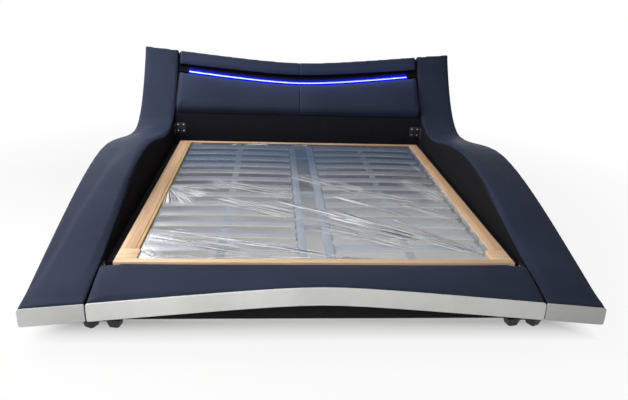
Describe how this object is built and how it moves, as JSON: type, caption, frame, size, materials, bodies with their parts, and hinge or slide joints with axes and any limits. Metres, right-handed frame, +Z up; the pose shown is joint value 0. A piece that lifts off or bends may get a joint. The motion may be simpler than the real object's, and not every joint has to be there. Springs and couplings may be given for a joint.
{
  "type": "wave-sided leather bed",
  "caption": "Leather bed with wave-shaped side wings, a lit reclined headboard, a pale foot band and a lift-out sprung slat base under clear film.",
  "frame": {"origin": "on the floor, under the centre of the bed's outline", "axes": "+Z up, +Y from the foot end towards the head end, +X to the right seen from the foot end"},
  "size_m": [2.456, 2.8288, 0.8909],
  "materials": {
    "leather": "satin, fine grain, dark navy charcoal",
    "pale_leather": "satin, warm pale grey",
    "board": "covered board, near black, matt",
    "beech": "planed, clear lacquer",
    "pale_wood": "planed, raw",
    "slat_wood": "bent plywood with a grey foil face",
    "steel": "grey-blue powder coat",
    "dark_steel": "black coated, semi-gloss",
    "plastic": "moulded, dark",
    "webbing": "woven belt",
    "light": "translucent light bar",
    "film": "clear, glossy, creased"
  },
  "bodies": {
    "bed_frame": {"left_wing": "leather", "right_wing": "leather", "left_end_band": "pale_leather", "right_end_band": "pale_leather", "foot_band": "pale_leather", "footboard": "leather", "plinth": "board", "headboard_frame": "board", "headboard_upper_pad": "leather", "headboard_lower_pad": "leather", "light_channel": "board", "light_bar": "light", "left_ledger": "board", "right_ledger": "board", "left_head_bracket": "dark_steel", "right_head_bracket": "dark_steel", "left_foot_bracket": "dark_steel", "right_foot_bracket": "dark_steel", "front_left_feet": "plastic", "front_right_feet": "plastic", "rear_left_feet": "plastic", "rear_right_feet": "plastic"},
    "slat_base": {"foot_rail": "beech", "head_rail": "beech", "left_rail": "beech", "right_rail": "beech", "left_corner_block": "pale_wood", "right_corner_block": "pale_wood", "left_slat_1": "slat_wood", "left_slat_2": "slat_wood", "left_slat_3": "slat_wood", "left_slat_4": "slat_wood", "left_slat_5": "slat_wood", "left_slat_6": "slat_wood", "left_slat_7": "slat_wood", "left_slat_8": "slat_wood", "left_slat_9": "slat_wood", "left_slat_10": "slat_wood", "left_slat_11": "slat_wood", "left_slat_12": "slat_wood", "left_slat_13": "slat_wood", "right_slat_1": "slat_wood", "right_slat_2": "slat_wood", "right_slat_3": "slat_wood", "right_slat_4": "slat_wood", "right_slat_5": "slat_wood", "right_slat_6": "slat_wood", "right_slat_7": "slat_wood", "right_slat_8": "slat_wood", "right_slat_9": "slat_wood", "right_slat_10": "slat_wood", "right_slat_11": "slat_wood", "right_slat_12": "slat_wood", "right_slat_13": "slat_wood", "left_slat_holder": "plastic", "right_slat_holder": "plastic", "centre_frame": "steel", "left_slat_belt": "webbing", "right_slat_belt": "webbing", "protective_film": "film"}
  },
  "joints": [
    {"name": "slat_base_lift", "type": "slide", "parent": "bed_frame", "child": "slat_base", "axis": [0, 0, 1], "range_m": [0, 0.45]}
  ]
}
